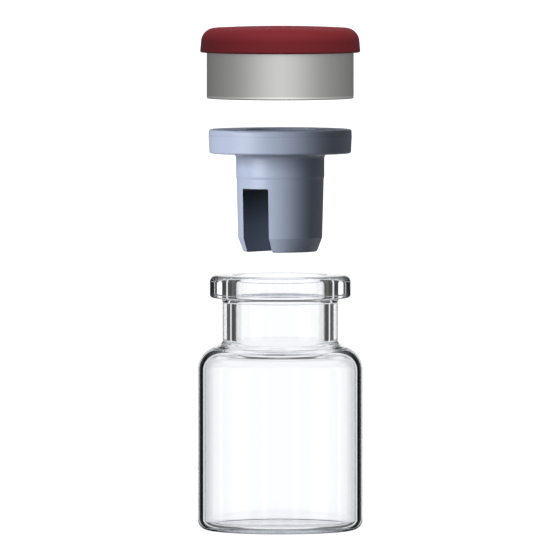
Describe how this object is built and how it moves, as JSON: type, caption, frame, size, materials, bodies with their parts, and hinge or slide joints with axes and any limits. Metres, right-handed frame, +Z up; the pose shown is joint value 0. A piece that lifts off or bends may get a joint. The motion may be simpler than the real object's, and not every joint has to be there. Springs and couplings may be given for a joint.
{
  "type": "serum vial",
  "caption": "Clear crimp-neck glass vial with its closure taken off: a slotted rubber stopper and an aluminium seal with a plastic flip cap, in line above the neck.",
  "frame": {"origin": "centre of the vial's base ring, on the surface that it stands on", "axes": "+Z up the common axis of vial, stopper and seal; +Y along the stopper's vent slot"},
  "size_m": [0.0234, 0.0234, 0.0713],
  "materials": {
    "clear_glass": "clear polished",
    "stopper_rubber": "matt, siliconised",
    "seal_aluminium": "satin",
    "cap_plastic": "matt moulded"
  },
  "bodies": {
    "vial": {"glass_vial": "clear_glass"},
    "stopper": {"rubber_stopper": "stopper_rubber"},
    "seal": {"aluminium_shell": "seal_aluminium"},
    "cap": {"flip_cap": "cap_plastic", "tear_off_disc": "seal_aluminium"}
  },
  "joints": [
    {"name": "stopper_slide", "type": "slide", "parent": "vial", "child": "stopper", "axis": [0, 0, 1], "range_m": [-0.01722, 0]},
    {"name": "seal_slide", "type": "slide", "parent": "stopper", "child": "seal", "axis": [0, 0, 1], "range_m": [-0.01153, 0]},
    {"name": "flip_off", "type": "hinge", "parent": "seal", "child": "cap", "pos_m": [-0.01135, 0, 0.0676], "axis": [0, -1, 0], "range_deg": [0, 90]}
  ]
}
